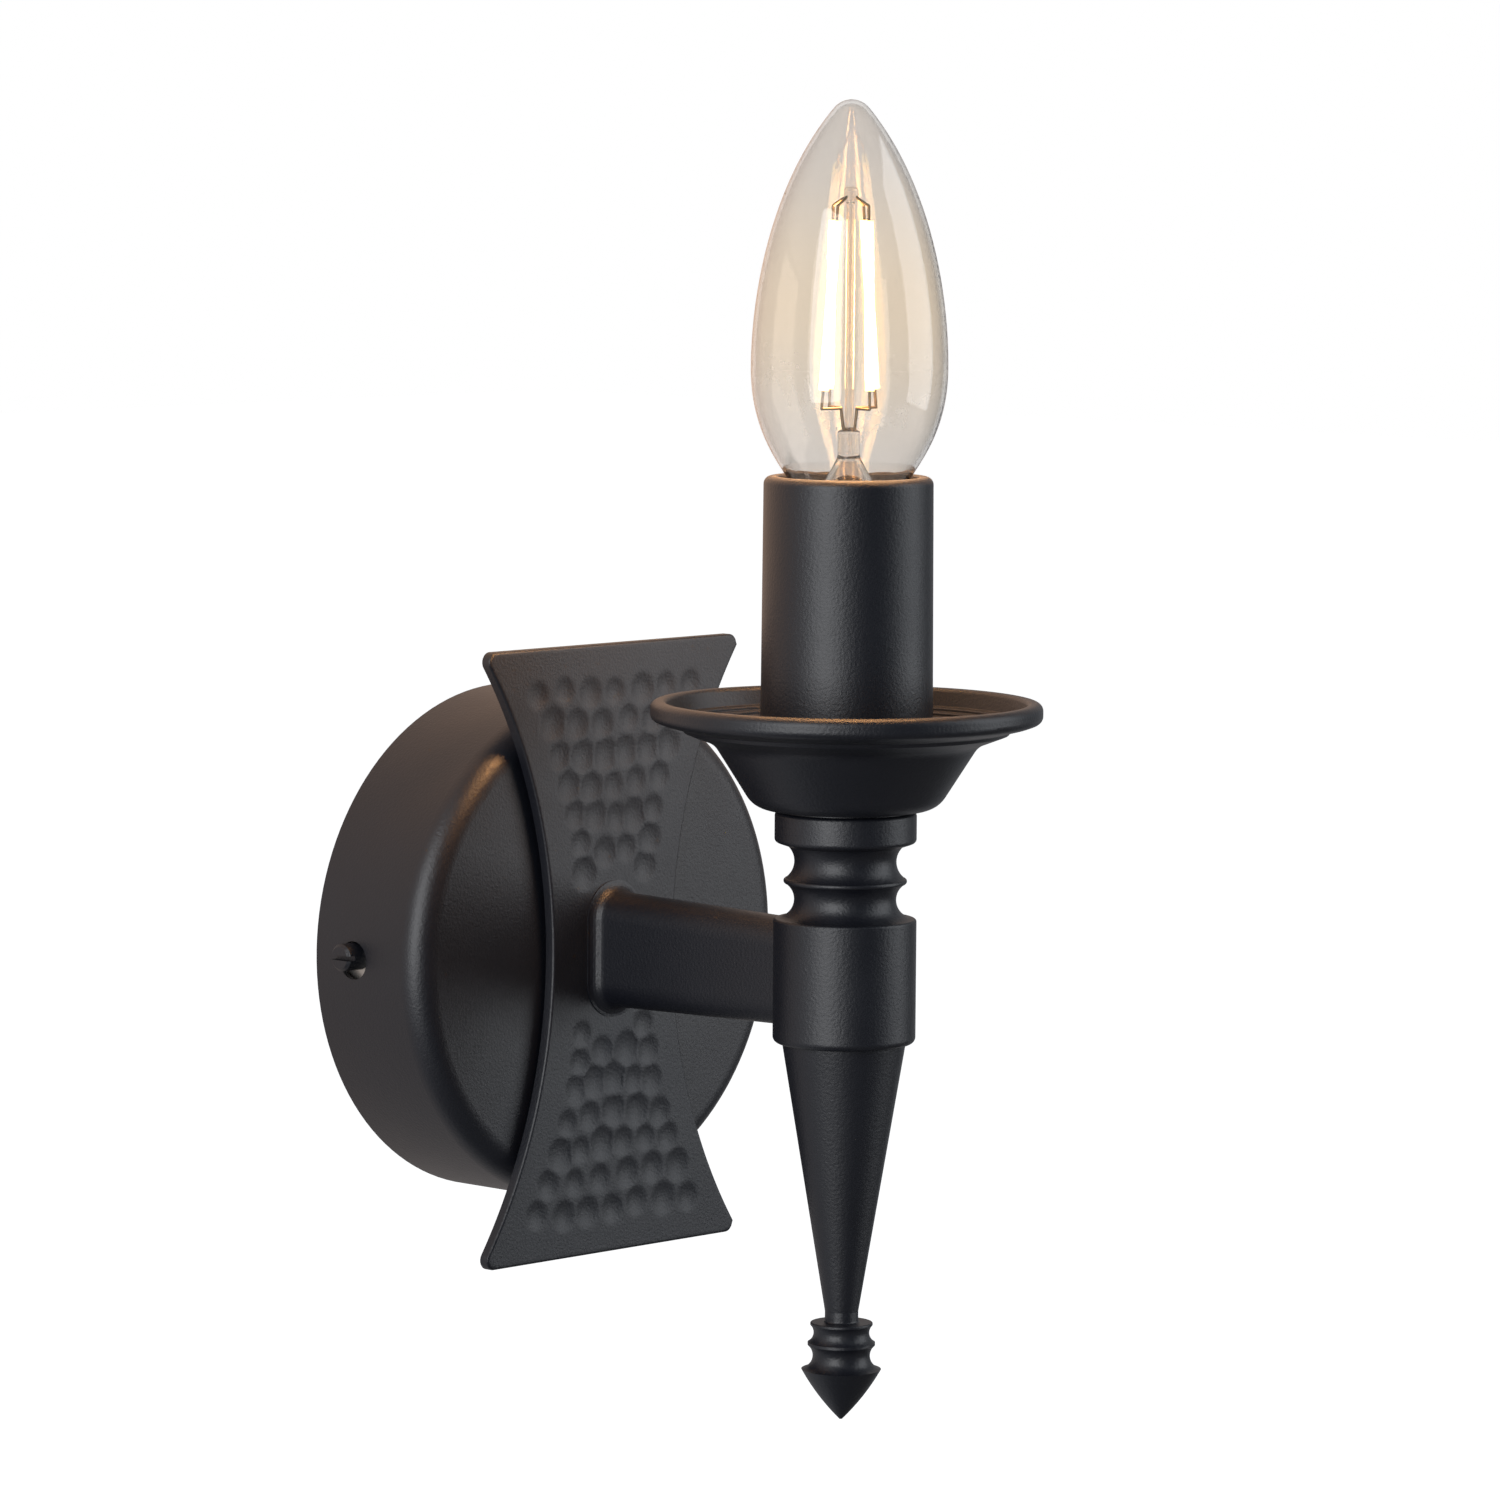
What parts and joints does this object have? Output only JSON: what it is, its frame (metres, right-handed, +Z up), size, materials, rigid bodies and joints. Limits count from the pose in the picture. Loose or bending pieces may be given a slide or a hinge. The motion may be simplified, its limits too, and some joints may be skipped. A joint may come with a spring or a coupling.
{
  "type": "torch wall sconce",
  "caption": "Black torch-shaped wall light: round wall cup, hammered hourglass strap, short arm, turned torch with drip pan and candle sleeve, clear candle bulb.",
  "frame": {"origin": "centre of the wall cup's open back, on the wall plane and level with the arm; also the middle of the bracket's two slots", "axes": "+Z up along the torch, +Y into the wall, front -Y, X along the bracket's slots"},
  "size_m": [0.0998, 0.1221, 0.2355],
  "materials": {
    "black_paint": "black fine-textured powder coat, satin",
    "zinc_plate": "zinc-plated steel",
    "brass": "plain brass",
    "white_plastic": "natural white moulding",
    "black_plastic": "black heat-proof moulding",
    "clear_glass": "clear glass",
    "nickel": "nickel-plated brass",
    "filament_phosphor": "warm phosphor coat, lit",
    "solder": "solder",
    "lead_wire": "drawn wire",
    "dark_glass": "dark glass bead"
  },
  "bodies": {
    "fixture": {"wall_bracket": "zinc_plate", "bracket_ears": "zinc_plate", "cup_lock_screws": "black_paint", "terminal_block": "white_plastic", "terminal_barrels": "brass", "terminal_clamp_screws": "zinc_plate", "terminal_fixing_screw": "zinc_plate", "earth_screw": "brass", "earth_washer": "brass", "wall_cup": "black_paint", "strap_spacer": "zinc_plate", "hammered_strap": "black_paint", "torch_arm": "black_paint", "arm_screws": "zinc_plate", "arm_washers": "zinc_plate", "torch_cone": "black_paint", "finial": "black_paint", "spindle": "black_paint", "drip_pan": "black_paint", "threaded_rod": "zinc_plate", "pan_washer": "zinc_plate", "pan_nut": "zinc_plate", "holder_base": "black_plastic", "holder_insert": "black_plastic", "holder_barrel": "black_plastic", "holder_shell": "brass", "holder_contact": "brass", "holder_terminals": "brass", "holder_terminal_screws": "zinc_plate", "candle_sleeve": "black_paint"},
    "bulb_tip": {"bulb_cap_contact": "solder"},
    "bulb": {"bulb_glass": "clear_glass", "bulb_stem": "clear_glass", "bulb_filaments": "filament_phosphor", "bulb_wires": "lead_wire", "bulb_cap": "nickel", "bulb_cap_insulator": "dark_glass"}
  },
  "joints": [
    {"name": "bulb_lift", "type": "slide", "parent": "fixture", "child": "bulb_tip", "axis": [0, 0, 1], "range_m": [0, 0.01128]},
    {"name": "bulb_turn", "type": "hinge", "parent": "bulb_tip", "child": "bulb", "pos_m": [0, -0.08725, 0], "axis": [0, 0, 1], "range_deg": [0, 1440]}
  ],
  "couplings": [
    {"joint": "bulb_lift", "follows": "bulb_turn", "m_per_rad": 0.00044882}
  ]
}
